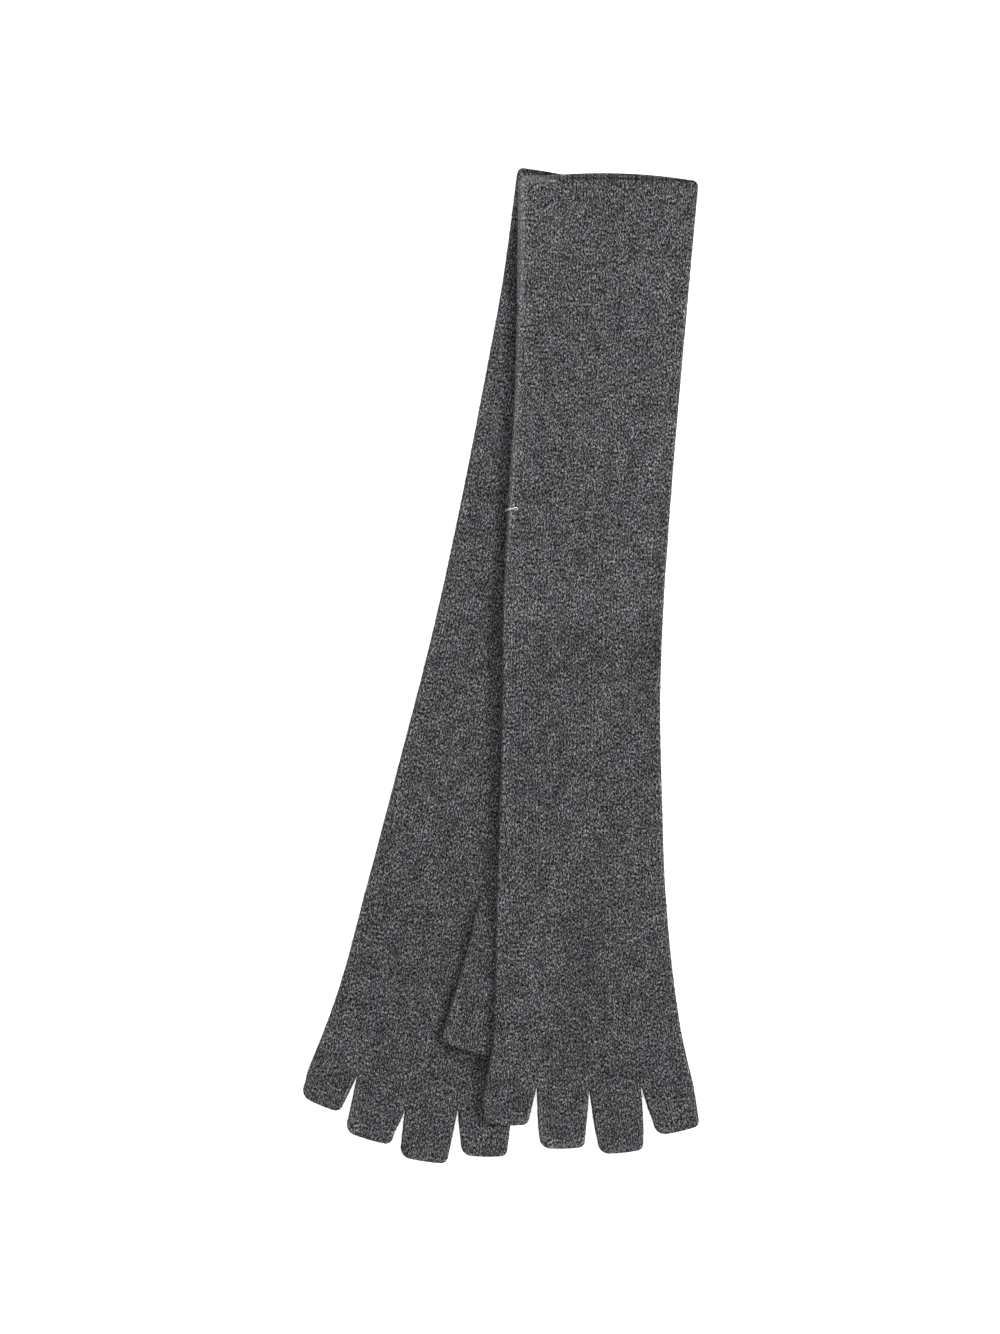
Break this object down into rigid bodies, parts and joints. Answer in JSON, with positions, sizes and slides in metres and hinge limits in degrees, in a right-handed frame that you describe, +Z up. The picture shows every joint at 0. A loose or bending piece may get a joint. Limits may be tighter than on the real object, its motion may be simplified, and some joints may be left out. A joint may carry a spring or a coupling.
{
  "type": "pair of long fingerless gloves",
  "caption": "Pair of long fingerless gloves in felted wool knit, laid flat and fanned one across the other, with open cuffs, short open finger stubs and thumbs folded onto the palms.",
  "frame": {"origin": "on the surface that the pair lies on, under the middle of its box", "axes": "+Z up from the surface, +Y towards the cuffs, +X towards the upper glove"},
  "size_m": [0.1981, 0.4977, 0.0111],
  "materials": {
    "wool": "felted, brushed heather knit, matt"
  },
  "bodies": {
    "root": {"left_arm_and_hand": "wool", "left_thumb": "wool", "left_little_finger": "wool", "left_ring_finger": "wool", "left_middle_finger": "wool", "left_index_finger": "wool", "right_arm_and_hand": "wool", "right_thumb": "wool", "right_little_finger": "wool", "right_ring_finger": "wool", "right_middle_finger": "wool", "right_index_finger": "wool"}
  },
  "joints": []
}
